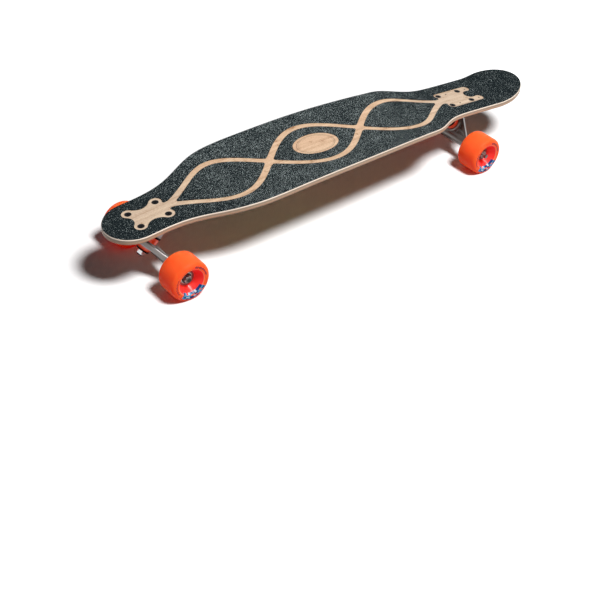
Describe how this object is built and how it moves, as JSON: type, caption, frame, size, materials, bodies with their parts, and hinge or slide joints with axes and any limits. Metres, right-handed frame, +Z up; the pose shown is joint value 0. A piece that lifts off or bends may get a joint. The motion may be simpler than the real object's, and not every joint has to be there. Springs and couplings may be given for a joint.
{
  "type": "longboard",
  "caption": "Longboard with a cambered wooden deck, a kicktail, grip panels, sprung steering trucks and wheels that spin on bearings.",
  "frame": {"origin": "on the floor, under the middle of the board's bounding box, with the wheels standing on the floor", "axes": "+X towards the nose, +Y towards the left rail, +Z up"},
  "size_m": [0.974, 0.2298, 0.1374],
  "materials": {
    "bamboo": "clear-coated bamboo, honey coloured",
    "grip": "dark slate abrasive sheet",
    "cast_aluminium": "polished casting",
    "grey_aluminium": "satin grey casting",
    "steel": "ground steel",
    "zinc": "bright zinc plate",
    "black_steel": "black oxide",
    "rubber": "matt black",
    "orange_urethane": "satin orange urethane",
    "core_plastic": "orange red",
    "bushing_urethane": "satin orange urethane",
    "pivot_plastic": "matt black",
    "bearing_shield": "dark metal shield"
  },
  "bodies": {
    "board": {"deck": "bamboo", "grip_outer": "grip", "grip_rear_panel": "grip", "grip_middle_panel": "grip", "grip_front_panel": "grip", "front_riser_pad": "rubber", "front_baseplate": "cast_aluminium", "front_kingpin": "black_steel", "front_kingpin_nut": "zinc", "front_large_cup_washer": "black_steel", "front_small_cup_washer": "black_steel", "front_boardside_bushing": "bushing_urethane", "front_roadside_bushing": "bushing_urethane", "front_pivot_cup": "pivot_plastic", "front_inboard_left_bolt": "black_steel", "front_inboard_right_bolt": "black_steel", "front_outboard_left_bolt": "black_steel", "front_outboard_right_bolt": "black_steel", "rear_riser_pad": "rubber", "rear_baseplate": "cast_aluminium", "rear_kingpin": "black_steel", "rear_kingpin_nut": "zinc", "rear_large_cup_washer": "black_steel", "rear_small_cup_washer": "black_steel", "rear_boardside_bushing": "bushing_urethane", "rear_roadside_bushing": "bushing_urethane", "rear_pivot_cup": "pivot_plastic", "rear_inboard_left_bolt": "black_steel", "rear_inboard_right_bolt": "black_steel", "rear_outboard_left_bolt": "black_steel", "rear_outboard_right_bolt": "black_steel"},
    "front_hanger_set": {"front_hanger": "grey_aluminium", "front_axle": "steel", "front_left_spacer_set": "steel", "front_left_axle_nut": "zinc", "front_right_spacer_set": "steel", "front_right_axle_nut": "zinc"},
    "front_left_wheel": {"front_left_tyre": "orange_urethane", "front_left_core": "core_plastic", "front_left_inner_bearing": "bearing_shield", "front_left_outer_bearing": "bearing_shield"},
    "front_right_wheel": {"front_right_tyre": "orange_urethane", "front_right_core": "core_plastic", "front_right_inner_bearing": "bearing_shield", "front_right_outer_bearing": "bearing_shield"},
    "rear_hanger_set": {"rear_hanger": "grey_aluminium", "rear_axle": "steel", "rear_left_spacer_set": "steel", "rear_left_axle_nut": "zinc", "rear_right_spacer_set": "steel", "rear_right_axle_nut": "zinc"},
    "rear_left_wheel": {"rear_left_tyre": "orange_urethane", "rear_left_core": "core_plastic", "rear_left_inner_bearing": "bearing_shield", "rear_left_outer_bearing": "bearing_shield"},
    "rear_right_wheel": {"rear_right_tyre": "orange_urethane", "rear_right_core": "core_plastic", "rear_right_inner_bearing": "bearing_shield", "rear_right_outer_bearing": "bearing_shield"}
  },
  "joints": [
    {"name": "front_steering", "type": "hinge", "parent": "board", "child": "front_hanger_set", "pos_m": [0.40904, 0, 0.05575], "axis": [0.6997, 0, 0.7145], "range_deg": [-20, 20], "stiffness_Nm_per_rad": 60, "deforming": ["front_boardside_bushing", "front_roadside_bushing"]},
    {"name": "rear_steering", "type": "hinge", "parent": "board", "child": "rear_hanger_set", "pos_m": [-0.32304, 0, 0.05575], "axis": [-0.6997, 0, 0.7145], "range_deg": [-20, 20], "stiffness_Nm_per_rad": 60, "deforming": ["rear_boardside_bushing", "rear_roadside_bushing"]},
    {"name": "front_left_wheel_spin", "type": "hinge", "parent": "front_hanger_set", "child": "front_left_wheel", "pos_m": [0.39509, 0.0873, 0.0375], "axis": [0, 1, 0], "continuous": true},
    {"name": "front_right_wheel_spin", "type": "hinge", "parent": "front_hanger_set", "child": "front_right_wheel", "pos_m": [0.39509, -0.0873, 0.0375], "axis": [0, 1, 0], "continuous": true},
    {"name": "rear_left_wheel_spin", "type": "hinge", "parent": "rear_hanger_set", "child": "rear_left_wheel", "pos_m": [-0.30909, 0.0873, 0.0375], "axis": [0, 1, 0], "continuous": true},
    {"name": "rear_right_wheel_spin", "type": "hinge", "parent": "rear_hanger_set", "child": "rear_right_wheel", "pos_m": [-0.30909, -0.0873, 0.0375], "axis": [0, 1, 0], "continuous": true}
  ]
}
